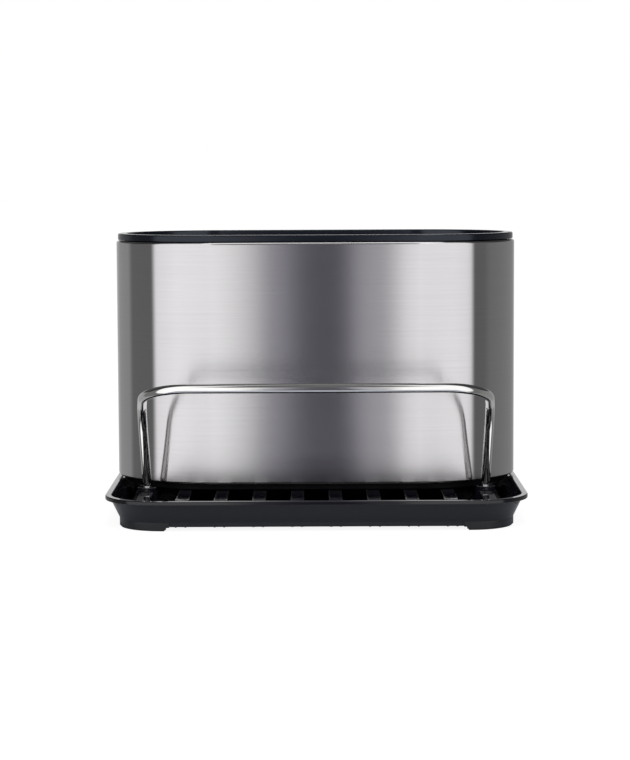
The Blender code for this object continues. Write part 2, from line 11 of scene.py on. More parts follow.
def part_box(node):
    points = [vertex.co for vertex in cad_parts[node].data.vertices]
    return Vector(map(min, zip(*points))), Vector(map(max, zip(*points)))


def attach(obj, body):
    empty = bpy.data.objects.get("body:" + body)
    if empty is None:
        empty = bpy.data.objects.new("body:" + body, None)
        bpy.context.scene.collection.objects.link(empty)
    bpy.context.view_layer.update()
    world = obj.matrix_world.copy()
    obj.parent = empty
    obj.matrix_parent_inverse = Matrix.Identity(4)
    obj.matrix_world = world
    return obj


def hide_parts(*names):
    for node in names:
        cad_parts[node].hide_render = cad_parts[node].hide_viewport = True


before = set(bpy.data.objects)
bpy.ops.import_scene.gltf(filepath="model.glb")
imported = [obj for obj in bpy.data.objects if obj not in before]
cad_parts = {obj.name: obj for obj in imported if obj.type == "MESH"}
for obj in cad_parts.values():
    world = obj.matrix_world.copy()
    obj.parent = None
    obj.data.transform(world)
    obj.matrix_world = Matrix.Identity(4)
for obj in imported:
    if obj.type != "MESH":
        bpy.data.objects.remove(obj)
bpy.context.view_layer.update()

# Fineness of the round pieces
ARC_STEPS = 72
CORNER_STEPS = 28
ROUNDING_STEPS = 5
RIM_STEPS = 8
PAD_END_STEPS = 6
PAD_EDGE_STEPS = 4
SLOT_END_STEPS = 12
CIRCLE_STEPS = 40
BEND_STEPS = 26
TAPER_STEPS = 8
NOTCH_STEPS = 32
WIRE_SIDES = 40
CLEARANCE = 0.0003

# What counts as one point, as flat, as a sharp edge and as one level when edges are rounded
WELD_DISTANCE = 0.000005
FLAT_ANGLE = math.radians(0.4)
SHARP_ANGLE = math.radians(40)
PAD_SHARP_ANGLE = math.radians(60)
LEVEL_TOLERANCE = CLEARANCE / 10

# Angles in degrees from which an edge is shaded as sharp
CREASE = 32
METAL_CREASE = 50

# Boxes of the CAD nodes that the pieces take their size and place from
TRAY_LOW, TRAY_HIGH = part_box("drip_tray")
SLEEVE_LOW, SLEEVE_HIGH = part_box("steel_sleeve")
BASE_LOW, BASE_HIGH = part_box("sleeve_base")
LINER_LOW, LINER_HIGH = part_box("liner")
DIVIDER_LOW, DIVIDER_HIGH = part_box("divider")
GROMMET_LOW, GROMMET_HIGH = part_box("rail_grommet_right")
RAIL_LOW, RAIL_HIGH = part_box("hanging_rail")
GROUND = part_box("foot_pad_front_right")[0].z

# Drip tray
TRAY_WIDTH = TRAY_HIGH.x - TRAY_LOW.x
TRAY_DEPTH = TRAY_HIGH.y - TRAY_LOW.y
TRAY_TOP = TRAY_HIGH.z
TRAY_FRONT = TRAY_LOW.y
TRAY_BACK = TRAY_HIGH.y
LIP_CORNER_RADIUS = 0.031
CORNER_X = TRAY_WIDTH / 2 - LIP_CORNER_RADIUS
CORNER_Y = TRAY_DEPTH / 2 - LIP_CORNER_RADIUS
LIP_WIDTH = 0.0035
LIP_THICKNESS = 0.0023
LIP_ROUNDING = 0.0006
LIP_BOTTOM = TRAY_TOP - LIP_THICKNESS
FLOOR_TOP = 0.005
FLOOR_THICKNESS = 0.002
FLOOR_BOTTOM = FLOOR_TOP - FLOOR_THICKNESS
FLOOR_MIDDLE = FLOOR_TOP - FLOOR_THICKNESS / 2
SKIRT_INSET = 0.0075
SKIRT_THICKNESS = 0.002
SKIRT_BOTTOM = 0.0022
PLINTH_TOP = 0.0047
WALL_TOP_INSET = 0.0029
WALL_THICKNESS = 0.002
RIB_COUNT = 8
RIB_PITCH = 0.02005
RIB_TOP = BASE_LOW.z - CLEARANCE
RIB_TOP_WIDTH = 0.007
RIB_BOTTOM_WIDTH = 0.0082
RIB_WALL = 0.0021
RIB_ROOF = 0.0015
RIB_END_SLOPE = 0.002
RIB_FRONT = TRAY_FRONT + 0.0235
RAIL_RIB_BACK = TRAY_BACK - 0.018
# Width of the painted highlight along each rib's upper edge
RIB_HIGHLIGHT_WIDTH = 0.0007
RUNNER_WIDTH = 0.0009
RUNNER_SPACING = 0.005
LEDGE_WIDTH = 0.006
LEDGE_THICKNESS = 0.0026
TRAY_EDGE_ROUNDING = 0.00035
PAD_WIDTH = 0.005
PAD_TOP = PLINTH_TOP - 1.1 * CLEARANCE
PAD_STRAIGHT = 0.0037
PAD_END_BEVEL = 0.0018
PAD_EDGE_ROUNDING = 0.0007

# Container
CONTAINER_EDGE_ROUNDING = 0.0003
SLEEVE_WIDTH = SLEEVE_HIGH.x - SLEEVE_LOW.x
SLEEVE_RADIUS = (SLEEVE_HIGH.y - SLEEVE_LOW.y) / 2
SLEEVE_Y = (SLEEVE_HIGH.y + SLEEVE_LOW.y) / 2
SLEEVE_SHEET = 0.0006
SLEEVE_EDGE_RADIUS = 0.0015
SLEEVE_TOP_FLANGE = 0.0036
SLEEVE_BOTTOM_FLANGE = 0.0032
BASE_PLATE_BOTTOM = SLEEVE_LOW.z + SLEEVE_SHEET + CLEARANCE
BASE_PLATE_TOP = BASE_PLATE_BOTTOM + 0.002
BASE_WALL_THICKNESS = 0.002
BASE_FOOT_GAP = 0.0005
BASE_FOOT_THICKNESS = 0.0025
BASE_SLOT_WIDTH = 0.009
BASE_SLOT_LENGTH = 0.052
RIM_INSET = 0.00085
RIM_WIDTH = 0.0047
RIM_ROUNDING = 0.0009
RIM_BOTTOM = SLEEVE_HIGH.z + CLEARANCE
LINER_WALL = 0.002
LINER_TOP_INSET = 0.0056
LINER_DRAFT = 0.002
LINER_FLOOR = LINER_LOW.z + LINER_WALL
LINER_FLOOR_CHAMFER = 0.0015
SLOT_WIDTH = 0.005
SLOT_LENGTH = 0.036
SLOT_PITCH = 0.014
SLOTS_PER_COMPARTMENT = 5
GUIDE_THICKNESS = 0.0015
GUIDE_DEPTH = 0.0028
GUIDE_TOP = RIM_BOTTOM - 0.014
DIVIDER_NOTCH_RADIUS = 0.014
DIVIDER_EDGE_ROUNDING = 0.0004

# Hanging rail and grommets
WIRE_RADIUS = 0.0025
PIN_RADIUS = 0.00185
NECK_TAPER = 0.0022
NECK_HEIGHT = 0.0008
RAIL_FOOT_X = (GROMMET_LOW.x + GROMMET_HIGH.x) / 2
RAIL_FOOT_Y = (GROMMET_LOW.y + GROMMET_HIGH.y) / 2
KNEE = Vector((RAIL_FOOT_X + 0.0019, RAIL_FOOT_Y - 0.0102, 0.0585))
BAR_CORNER = Vector((KNEE.x - 0.0042, RAIL_LOW.y + WIRE_RADIUS, RAIL_HIGH.z - WIRE_RADIUS))
KNEE_RADIUS = 0.021
CORNER_RADIUS = 0.026
GROMMET_BODY_RADIUS = 0.0035
GROMMET_FLANGE_RADIUS = (GROMMET_HIGH.x - GROMMET_LOW.x) / 2
GROMMET_EDGE_ROUNDING = 0.0003
SOCKET_WALL = 0.0018
SOCKET_FLOOR = 0.0015

# Camera of the photograph, fitted to the object's outline
IMAGE_HEIGHT = 760
FOCAL_PIXELS = 2344
SENSOR = 36.0
CAMERA_X = -0.0005
CAMERA_DISTANCE = 1.300
CAMERA_HEIGHT = 0.1859
CAMERA_PITCH = 0.090
CAMERA_ROLL = -0.0045
CAMERA_REACH = 50

# Finishes: colours dark and light, and roughness smooth and rough
STEEL_COLOURS = (0.601, 0.587, 0.600), (0.658, 0.643, 0.657)
STEEL_ROUGHNESS = 0.142, 0.158
STEEL_ROTATION = 0.25
CHROME_COLOUR = (0.86, 0.855, 0.845, 1.0)
CHROME_ROUGHNESS = 0.03, 0.085
GLOSS_COLOURS = (0.0078, 0.0082, 0.0128), (0.015, 0.0155, 0.018)
GLOSS_ROUGHNESS = 0.040, 0.075
# Painted highlights on the ribs' upper edges: their strength, the right edges' share of it, and the
# roughness added where they and the dust lie
RIB_HIGHLIGHT_LEVEL = 1.6
RIB_HIGHLIGHT_RIGHT_SHARE = 0.4
DUST_AND_HIGHLIGHT_ROUGHNESS = 0.06
SATIN_COLOURS = (0.0036, 0.0052, 0.0100), (0.0058, 0.0078, 0.0135)
SATIN_ROUGHNESS = 0.12, 0.19
SATIN_SHINE = (0.80, 0.87, 1.0, 1.0)
MATTE_COLOURS = (0.0030, 0.0034, 0.0046), (0.0052, 0.0056, 0.0068)
MATTE_ROUGHNESS = 0.42, 0.52
MATTE_SHINE = 0.12
RUBBER_COLOURS = (0.0060, 0.0064, 0.0084), (0.0100, 0.0104, 0.0124)
RUBBER_ROUGHNESS = 0.26, 0.38
NOISE_CORE = 0.3, 0.7
GRAIN_CORE = 0.35, 0.65

# Studio: levels of light by azimuth in degrees, and by millimetres across the gap
SCREENS = [(-180, 1.00), (-174, 0.92), (-164, 0.52), (-148, 0.35), (-120, 0.33), (-112, 0.17),
           (-78, 0.16), (-72, 1.08), (-45, 1.20), (-8, 1.15), (8, 1.12), (45, 1.14), (61, 1.08),
           (66, 0.95), (71, 0.15), (86, 0.16), (95, 0.21), (150, 0.28), (166, 0.42), (174, 0.92),
           (180, 1.00)]
# Over this span of Y the height of the dim part sinks; at its edge the light falls off.
CEILING_HEIGHTS, CEILING_SPAN = (0.90, 0.16), (-0.45, 0.15)
OVERHEAD_LEVELS, OVERHEAD_EDGE = (1.0, 0.20), (0.0, 0.10)
FLOOR_REACH = 12.0
FLOOR_DROP = 0.0002
FLOOR_GREY = (0.32, 0.32, 0.32, 1.0)
FLOOR_GLOW = 0.90
APRON_DROP = 0.0001
APRON_HALF, APRON_FRONT, APRON_BACK = 0.12, -0.15, 0.02
APRON_COLOUR = (0.86, 0.90, 1.0, 1.0)
GAP_WIDTH, GAP_BOTTOM, GAP_TOP, GAP_DISTANCE = 0.24, -1.6, 7.0, 0.505
GAP_LEVELS = [(-100, 1.17), (-72, 1.22), (-58, 1.02), (-45, 0.75), (-34, 0.39), (-25, 0.33),
              (-12, 0.16), (-2, 0.11), (14, 0.10), (22, 0.15), (30, 0.37), (38, 0.46), (50, 0.46),
              (59, 0.76), (66, 1.10), (80, 1.18), (100, 1.14)]
GAP_COOL_UNDER = 0.6
GAP_GREEN_LOSS, GAP_BLUE_GAIN = 0.02, 0.20
# Low down it spreads by this share; high up other levels take over. Both change between two
# heights, and between two distances from its middle.
GAP_LOW_SHARE, GAP_LOW_HEIGHTS, GAP_LOW_HALVES = 0.35, (-0.05, 0.01), (0.020, 0.066)
GAP_HIGH_HEIGHTS, GAP_HIGH_HALVES, GAP_HIGH_LEVELS = (0.20, 0.34), (0.072, 0.105), (0.14, 1.10)
LAMP_PLACE = Vector((0.15, -0.35, 1.5))
LAMP_TARGET = Vector((0, 0, 0.05))
LAMP_SIZE = 0.9
LAMP_POWER = 3.0


# Meshes

def make_piece(name, built, finish, body, nodes):
    """Turns a bmesh into a shaded piece that stands for CAD nodes and moves with a body."""
    bmesh.ops.recalc_face_normals(built, faces=built.faces)
    mesh = bpy.data.meshes.new(name)
    built.to_mesh(mesh)
    built.free()
    piece = bpy.data.objects.new(name, mesh)
    bpy.context.collection.objects.link(piece)
    mesh.materials.append(finish)
    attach(piece, body)
    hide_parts(*nodes)
    return piece


def shade(piece, angle=CREASE):
    """Smooth shading between sharp edges, led by the larger faces."""
    piece.data.shade_smooth()
    piece.data.set_sharp_from_angle(angle=math.radians(angle))
    evener = piece.modifiers.new("even_shading", "WEIGHTED_NORMAL")
    evener.keep_sharp = True
    evener.weight = 60


def cut(piece, built, operation):
    """Applies one boolean with a closed bmesh, which is then thrown away."""
    bmesh.ops.recalc_face_normals(built, faces=built.faces)
    mesh = bpy.data.meshes.new("tool")
    built.to_mesh(mesh)
    built.free()
    tool = bpy.data.objects.new("tool", mesh)
    bpy.context.collection.objects.link(tool)
    step = piece.modifiers.new("step", "BOOLEAN")
    step.object = tool
    step.operation = operation
    step.solver = "EXACT"
    bake(piece)
    bpy.data.objects.remove(tool, do_unlink=True)


def bake(piece):
    """Puts the result of the piece's modifiers into its mesh."""
    graph = bpy.context.evaluated_depsgraph_get()
    graph.update()
    result = bpy.data.meshes.new_from_object(piece.evaluated_get(graph))
    piece.modifiers.clear()
    piece.data = result


def round_edges(piece, width, steps=2, crisp_level=None):
    """Merges flat faces and rounds every sharp edge a little, but none that meets a crisp level."""
    built = bmesh.new()
    built.from_mesh(piece.data)
    bmesh.ops.remove_doubles(built, verts=built.verts, dist=WELD_DISTANCE)
    bmesh.ops.dissolve_limit(built, angle_limit=FLAT_ANGLE, verts=built.verts, edges=built.edges)
    weight = built.edges.layers.float.new("bevel_weight_edge")
    for edge in built.edges:
        sharp = len(edge.link_faces) == 2 and edge.calc_face_angle() > SHARP_ANGLE
        crisp = crisp_level and any(abs(vert.co.z - crisp_level) < LEVEL_TOLERANCE
                                    for vert in edge.verts)
        edge[weight] = 1.0 if sharp and not crisp else 0.0
    built.to_mesh(piece.data)
    built.free()
    bevel = piece.modifiers.new("edges", "BEVEL")
    bevel.width = width
    bevel.segments = steps
    bevel.limit_method = "WEIGHT"
    bevel.use_clamp_overlap = True
    bevel.miter_outer = "MITER_ARC"
    bake(piece)


def obround(inset):
    """The sleeve's plan drawn in by an inset."""
    radius = SLEEVE_RADIUS - inset
    centre = SLEEVE_WIDTH / 2 - SLEEVE_RADIUS
    points = []
    for side, start in ((1, -math.pi / 2), (-1, math.pi / 2)):
        for step in range(ARC_STEPS + 1):
            angle = start + math.pi * step / ARC_STEPS
            points.append((side * centre + radius * math.cos(angle),
                           SLEEVE_Y + radius * math.sin(angle)))
    return points


def tray_outline(inset):
    """The tray's plan drawn in by an inset."""
    radius = LIP_CORNER_RADIUS - inset
    points = []
    for sign_x, sign_y, start in ((1, -1, -90), (1, 1, 0), (-1, 1, 90), (-1, -1, 180)):
        for step in range(CORNER_STEPS + 1):
            angle = math.radians(start + 90 * step / CORNER_STEPS)
            points.append((sign_x * CORNER_X + radius * math.cos(angle),
                           sign_y * CORNER_Y + radius * math.sin(angle)))
    return points


def bridge(built, lower, upper):
    """Faces between two closed rings that have as many vertices."""
    for index in range(len(lower)):
        after = (index + 1) % len(lower)
        built.faces.new((lower[index], lower[after], upper[after], upper[index]))


def add_block(built, low_corners, high_corners):
    """Adds a closed block between two outlines that have as many corners."""
    low = [built.verts.new(corner) for corner in low_corners]
    high = [built.verts.new(corner) for corner in high_corners]
    built.faces.new(low)
    built.faces.new(high)
    bridge(built, low, high)


def loft(outline, profile, closed=False):
    """Sweeps a profile of (inset, z) around an outline; the ends are capped unless closed."""
    built = bmesh.new()
    loops = []
    for inset, z in profile:
        loops.append([built.verts.new((x, y, z)) for x, y in outline(inset)])
    pairs = list(zip(loops[:-1], loops[1:]))
    if closed:
        pairs.append((loops[-1], loops[0]))
    for lower, upper in pairs:
        bridge(built, lower, upper)
    if not closed:
        built.faces.new(loops[0])
        built.faces.new(loops[-1])
    return built


def arc(centre, radius, start, stop, steps=ROUNDING_STEPS):
    """Points on part of a circle in an upright plane, angles in degrees."""
    points = []
    for step in range(steps + 1):
        angle = math.radians(start + (stop - start) * step / steps)
        points.append((centre[0] + radius * math.cos(angle),
                       centre[1] + radius * math.sin(angle)))
    return points


def add_prism(built, corners, low, high):
    """Adds an upright prism on a plan."""
    add_block(built, [(x, y, low) for x, y in corners], [(x, y, high) for x, y in corners])


def rectangle(x, y, width, depth):
    return [(x - width / 2, y - depth / 2), (x + width / 2, y - depth / 2),
            (x + width / 2, y + depth / 2), (x - width / 2, y + depth / 2)]


def slot_outline(x, y, width, length):
    """A slot with round ends that runs front to back."""
    radius = width / 2
    reach = length / 2 - radius
    points = []
    for side, start in ((-1, 180), (1, 0)):
        for step in range(SLOT_END_STEPS + 1):
            angle = math.radians(start + 180 * step / SLOT_END_STEPS)
            points.append((x + radius * math.cos(angle),
                           y + side * reach + radius * math.sin(angle)))
    return points


def circle_outline(x, y, radius):
    return [(x + radius * math.cos(2 * math.pi * step / CIRCLE_STEPS),
             y + radius * math.sin(2 * math.pi * step / CIRCLE_STEPS))
            for step in range(CIRCLE_STEPS)]


def add_rib(built, x, fronts, backs, widths, levels):
    """Adds a block along Y; ends and widths are given for its low and its high level."""
    rings = []
    for front, back, width, z in zip(fronts, backs, widths, levels):
        rings.append([(x + side * width / 2, y, z)
                      for side, y in ((-1, front), (1, front), (1, back), (-1, back))])
    add_block(built, *rings)


def corner_band(sign_x, sign_y, near, far, straight):
    """A plan band that follows one tray corner between two insets, with straight ends."""
    band = []
    for inset, order in ((near, 1), (far, -1)):
        radius = LIP_CORNER_RADIUS - inset
        edge = [(CORNER_X - straight, CORNER_Y + radius)]
        for step in range(CORNER_STEPS + 1):
            angle = math.radians(90 - 90 * step / CORNER_STEPS)
            edge.append((CORNER_X + radius * math.cos(angle), CORNER_Y + radius * math.sin(angle)))
        edge.append((CORNER_X + radius, CORNER_Y - straight))
        band.extend(edge[::order])
    return [(sign_x * x, sign_y * y) for x, y in band]


def wall_inset(z):
    """How far the tray's outer wall is drawn in at a height: it leans out up to the lip."""
    share = (min(z, LIP_BOTTOM) - PLINTH_TOP) / (LIP_BOTTOM - PLINTH_TOP)
    return SKIRT_INSET + (WALL_TOP_INSET - SKIRT_INSET) * share


def rib_places():
    """Each rib's middle, its back ends at the floor and at the top, and its runners' front."""
    into_wall = [TRAY_BACK - inset - WALL_THICKNESS / 2
                 for inset in (SKIRT_INSET, wall_inset(RIB_TOP))]
    in_skirt = TRAY_FRONT + SKIRT_INSET + SKIRT_THICKNESS / 2
    first = -(RIB_COUNT - 1) / 2
    places = [((first + index) * RIB_PITCH, *into_wall, in_skirt) for index in range(RIB_COUNT)]
    return places + [(side * RAIL_FOOT_X, RAIL_RIB_BACK, RAIL_RIB_BACK, RIB_FRONT)
                     for side in (-1, 1)]


# Pieces of the tray

def build_tray(finish):
    """A shallow basin with hollow ribs, sockets for the grommets and notches for the pads."""
    rounded = LIP_ROUNDING
    profile = [(SKIRT_INSET, SKIRT_BOTTOM),
               (SKIRT_INSET, PLINTH_TOP),
               (WALL_TOP_INSET, LIP_BOTTOM),
               (rounded, LIP_BOTTOM)]
    profile += arc((rounded, LIP_BOTTOM + rounded), rounded, 240, 180)
    profile += arc((rounded, TRAY_TOP - rounded), rounded, 180, 90)
    profile += arc((LIP_WIDTH - rounded, TRAY_TOP - rounded), rounded, 90, 10)
    profile += [(WALL_TOP_INSET + WALL_THICKNESS, LIP_BOTTOM),
                (SKIRT_INSET + WALL_THICKNESS, FLOOR_TOP)]
    tray = make_piece("tray", loft(tray_outline, profile), finish,
                      "tray", ["drip_tray"])
    hollow = loft(tray_outline, [(SKIRT_INSET + SKIRT_THICKNESS, SKIRT_BOTTOM - CLEARANCE),
                                 (SKIRT_INSET + SKIRT_THICKNESS, FLOOR_BOTTOM)])
    cut(tray, hollow, "DIFFERENCE")

    ribs = bmesh.new()
    rib_hollows = bmesh.new()
    runners = bmesh.new()
    hollow_front = RIB_FRONT + RIB_WALL
    for x, back, top_back, runner_front in rib_places():
        add_rib(ribs, x, (RIB_FRONT - RIB_END_SLOPE, RIB_FRONT), (back, top_back),
                (RIB_BOTTOM_WIDTH, RIB_TOP_WIDTH), (FLOOR_MIDDLE, RIB_TOP))
        hollow_back = min(back, TRAY_BACK - SKIRT_INSET - SKIRT_THICKNESS) - RIB_WALL
        add_rib(rib_hollows, x, (hollow_front - RIB_END_SLOPE, hollow_front),
                (hollow_back, hollow_back),
                (RIB_BOTTOM_WIDTH - 2 * RIB_WALL, RIB_TOP_WIDTH - 2 * RIB_WALL),
                (FLOOR_BOTTOM - CLEARANCE, RIB_TOP - RIB_ROOF))
        for side in (-1, 1):
            plan = rectangle(x + side * RUNNER_SPACING / 2, (runner_front + hollow_back) / 2,
                             RUNNER_WIDTH, hollow_back - runner_front)
            add_prism(runners, plan, TRAY_LOW.z, FLOOR_MIDDLE)
    cut(tray, ribs, "UNION")
    cut(tray, rib_hollows, "DIFFERENCE")
    cut(tray, runners, "UNION")

    bosses = bmesh.new()
    sockets = bmesh.new()
    socket_radius = GROMMET_BODY_RADIUS + CLEARANCE
    socket_bottom = GROMMET_LOW.z - CLEARANCE
    for side in (-1, 1):
        foot = side * RAIL_FOOT_X, RAIL_FOOT_Y
        add_prism(bosses, circle_outline(*foot, socket_radius + SOCKET_WALL),
                  socket_bottom - SOCKET_FLOOR, RIB_TOP)
        add_prism(sockets, circle_outline(*foot, socket_radius),
                  socket_bottom, RIB_TOP + CLEARANCE)
    cut(tray, bosses, "UNION")

    ledges = bmesh.new()
    notches = bmesh.new()
    for sign_x in (-1, 1):
        for sign_y in (-1, 1):
            add_prism(ledges, corner_band(sign_x, sign_y, SKIRT_INSET + SKIRT_THICKNESS / 4,
                                          SKIRT_INSET + LEDGE_WIDTH, PAD_STRAIGHT),
                      PLINTH_TOP, PLINTH_TOP + LEDGE_THICKNESS)
            add_prism(notches, corner_band(sign_x, sign_y, SKIRT_INSET - CLEARANCE,
                                           SKIRT_INSET + PAD_WIDTH + CLEARANCE,
                                           PAD_STRAIGHT + CLEARANCE),
                      TRAY_LOW.z - CLEARANCE, PLINTH_TOP - CLEARANCE)
    cut(tray, ledges, "UNION")
    cut(tray, sockets, "DIFFERENCE")
    cut(tray, notches, "DIFFERENCE")
    round_edges(tray, TRAY_EDGE_ROUNDING, crisp_level=PLINTH_TOP - CLEARANCE)
    shade(tray)


def build_pad(name, node, sign_x, sign_y, finish):
    """A corner foot whose inner ends are rounded towards the ground."""
    built = bmesh.new()
    outline = corner_band(sign_x, sign_y, SKIRT_INSET, SKIRT_INSET + PAD_WIDTH, PAD_STRAIGHT)
    add_prism(built, outline, GROUND, PAD_TOP)
    bmesh.ops.recalc_face_normals(built, faces=built.faces)
    built.verts.ensure_lookup_table()
    count = len(outline)
    ends = [built.edges.get((built.verts[first], built.verts[second]))
            for first, second in ((0, count - 1), (count // 2 - 1, count // 2))]
    bmesh.ops.bevel(built, geom=ends, offset=PAD_END_BEVEL, segments=PAD_END_STEPS,
                    affect="EDGES")
    on_ground = [edge for edge in built.edges
                 if len(edge.link_faces) == 2 and edge.calc_face_angle() > PAD_SHARP_ANGLE
                 and max(vert.co.z for vert in edge.verts) < GROUND + CLEARANCE]
    bmesh.ops.bevel(built, geom=on_ground, offset=PAD_EDGE_ROUNDING, segments=PAD_EDGE_STEPS,
                    affect="EDGES")
    pad = make_piece(name, built, finish, "tray", [node])
    shade(pad)


def build_grommet(name, node, side, finish):
    """A flanged bush around the wire's pin."""
    hole = PIN_RADIUS + CLEARANCE
    seat = RIB_TOP + CLEARANCE
    top = GROMMET_HIGH.z
    rounded = GROMMET_EDGE_ROUNDING
    profile = [(hole, GROMMET_LOW.z), (GROMMET_BODY_RADIUS, GROMMET_LOW.z),
               (GROMMET_BODY_RADIUS, seat), (GROMMET_FLANGE_RADIUS, seat)]
    profile += arc((GROMMET_FLANGE_RADIUS - rounded, top - rounded), rounded, 0, 90)
    profile += arc((hole + rounded, top - rounded), rounded, 90, 180)
    built = loft(lambda radius: circle_outline(side * RAIL_FOOT_X, RAIL_FOOT_Y, radius),
                 profile, closed=True)
    grommet = make_piece(name, built, finish, "tray", [node])
    shade(grommet)


# The rail

def rounded_path(corners, radii):
    """Points along straight runs whose corners are arcs of the given radii."""
    points = [corners[0]]
    for before, corner, after, radius in zip(corners, corners[1:], corners[2:], radii):
        back = (before - corner).normalized()
        ahead = (after - corner).normalized()
        half = back.angle(ahead) / 2
        centre = corner + (back + ahead).normalized() * radius / math.sin(half)
        start = corner + back * radius / math.tan(half) - centre
        axis = back.cross(ahead).normalized()
        sweep = math.pi - 2 * half
        for step in range(BEND_STEPS + 1):
            turn = Matrix.Rotation(-sweep * step / BEND_STEPS, 3, axis)
            points.append(centre + turn @ start)
    points.append(corners[-1])
    return points


def sweep_circle(points, radii, sides):
    """A round bar along points, one radius for each, with flat ends and no twist."""
    built = bmesh.new()
    normal = Vector((1.0, 0.0, 0.0))
    rings = []
    for index, (point, radius) in enumerate(zip(points, radii)):
        before = points[max(index - 1, 0)]
        after = points[min(index + 1, len(points) - 1)]
        along = (after - before).normalized()
        normal = (normal - along * normal.dot(along)).normalized()
        across = along.cross(normal)
        ring = []
        for step in range(sides):
            angle = 2 * math.pi * step / sides
            out = normal * math.cos(angle) + across * math.sin(angle)
            ring.append(built.verts.new(point + out * radius))
        rings.append(ring)
    for lower, upper in zip(rings[:-1], rings[1:]):
        bridge(built, lower, upper)
    built.faces.new(rings[0])
    built.faces.new(rings[-1])
    return built


def build_rail(finish):
    """One bent wire whose necked ends stand in the grommets."""
    start = Vector((RAIL_FOOT_X, RAIL_FOOT_Y, GROMMET_HIGH.z + NECK_HEIGHT))
    middle = Vector((0.0, BAR_CORNER.y, BAR_CORNER.z))
    bend = rounded_path([start, KNEE, BAR_CORNER, middle], (KNEE_RADIUS, CORNER_RADIUS))
    uphill = (KNEE - start).normalized()
    pin_bottom = Vector((RAIL_FOOT_X, RAIL_FOOT_Y, GROMMET_LOW.z))
    half = [pin_bottom, start]
    radii = [PIN_RADIUS, PIN_RADIUS]
    for step in range(1, TAPER_STEPS + 1):
        share = step / TAPER_STEPS
        eased = share * share * (3 - 2 * share)
        half.append(start + uphill * NECK_TAPER * share)
        radii.append(PIN_RADIUS + (WIRE_RADIUS - PIN_RADIUS) * eased)
    half += bend[1:-1]
    radii += [WIRE_RADIUS] * (len(bend) - 2)
    points = half + [Vector((-p.x, p.y, p.z)) for p in reversed(half)]
    built = sweep_circle(points, radii + radii[::-1], WIRE_SIDES)
    rail = make_piece("rail", built, finish, "rail", ["hanging_rail"])
    rail.data.shade_smooth()
    rail.data.set_sharp_from_angle(angle=math.radians(METAL_CREASE))
    return rail


# Pieces of the container

def build_sleeve(finish):
    """A thin steel ring whose edges turn in at the top and the bottom."""
    sheet, edge = SLEEVE_SHEET, SLEEVE_EDGE_RADIUS
    low, high = SLEEVE_LOW.z, SLEEVE_HIGH.z
    profile = [(SLEEVE_BOTTOM_FLANGE, low)]
    profile += arc((edge, low + edge), edge, 270, 180, RIM_STEPS)
    profile += arc((edge, high - edge), edge, 180, 90, RIM_STEPS)
    profile += [(SLEEVE_TOP_FLANGE, high), (SLEEVE_TOP_FLANGE, high - sheet)]
    profile += arc((edge, high - edge), edge - sheet, 90, 180, RIM_STEPS)
    profile += arc((edge, low + edge), edge - sheet, 180, 270, RIM_STEPS)
    profile += [(SLEEVE_BOTTOM_FLANGE, low + sheet)]
    sleeve = make_piece("sleeve", loft(obround, profile, closed=True), finish,
                        "container", ["steel_sleeve"])
    shade(sleeve, METAL_CREASE)


def compartment_places():
    """The middles of the two compartments' floors along X."""
    floor_reach = SLEEVE_WIDTH / 2 - inner_inset(LINER_FLOOR)
    middle = (DIVIDER_LOW.x + DIVIDER_HIGH.x) / 2
    return ((middle - floor_reach) / 2, (middle + floor_reach) / 2)


def slot_places():
    """Where the drainage slots lie along X."""
    first = -(SLOTS_PER_COMPARTMENT - 1) / 2
    places = []
    for middle in compartment_places():
        places += [middle + (first + index) * SLOT_PITCH for index in range(SLOTS_PER_COMPARTMENT)]
    return places


def inner_inset(z):
    """How far the liner's inner face is drawn in at a height, because of its draft."""
    share = (RIM_BOTTOM - z) / (RIM_BOTTOM - LINER_LOW.z)
    return LINER_TOP_INSET + LINER_WALL + LINER_DRAFT * share


def build_base(finish):
    """A slotted plate with a foot ring below it and a low wall inside the steel."""
    beside = SLEEVE_SHEET + CLEARANCE
    plate, top = BASE_PLATE_BOTTOM, BASE_PLATE_TOP
    behind = TRAY_BACK - SLEEVE_HIGH.y
    foot_outer = wall_inset(BASE_LOW.z) + WALL_THICKNESS + BASE_FOOT_GAP - behind
    foot_inner = foot_outer + BASE_FOOT_THICKNESS
    profile = [(foot_inner, plate), (foot_inner, BASE_LOW.z), (foot_outer, BASE_LOW.z),
               (foot_outer, plate), (SLEEVE_EDGE_RADIUS + CLEARANCE, plate),
               (beside, plate + SLEEVE_EDGE_RADIUS), (beside, BASE_HIGH.z),
               (beside + BASE_WALL_THICKNESS, BASE_HIGH.z), (beside + BASE_WALL_THICKNESS, top)]
    base = make_piece("base", loft(obround, profile), finish,
                      "container", ["sleeve_base"])
    slots = bmesh.new()
    for x in slot_places():
        add_prism(slots, slot_outline(x, SLEEVE_Y, BASE_SLOT_WIDTH, BASE_SLOT_LENGTH),
                  plate - CLEARANCE, top + CLEARANCE)
    cut(base, slots, "DIFFERENCE")
    round_edges(base, CONTAINER_EDGE_ROUNDING)
    shade(base)


def add_guide(built, x, end):
    """A rib on the front or back inner wall that follows the wall's draft."""
    rings = []
    for z in (LINER_FLOOR - LINER_WALL / 2, GUIDE_TOP):
        wall = SLEEVE_RADIUS - inner_inset(z)
        near, far = wall - GUIDE_DEPTH, wall + LINER_WALL / 2
        rings.append([(x + side * GUIDE_THICKNESS / 2, SLEEVE_Y + end * y, z)
                      for side, y in ((-1, near), (1, near), (1, far), (-1, far))])
    add_block(built, *rings)


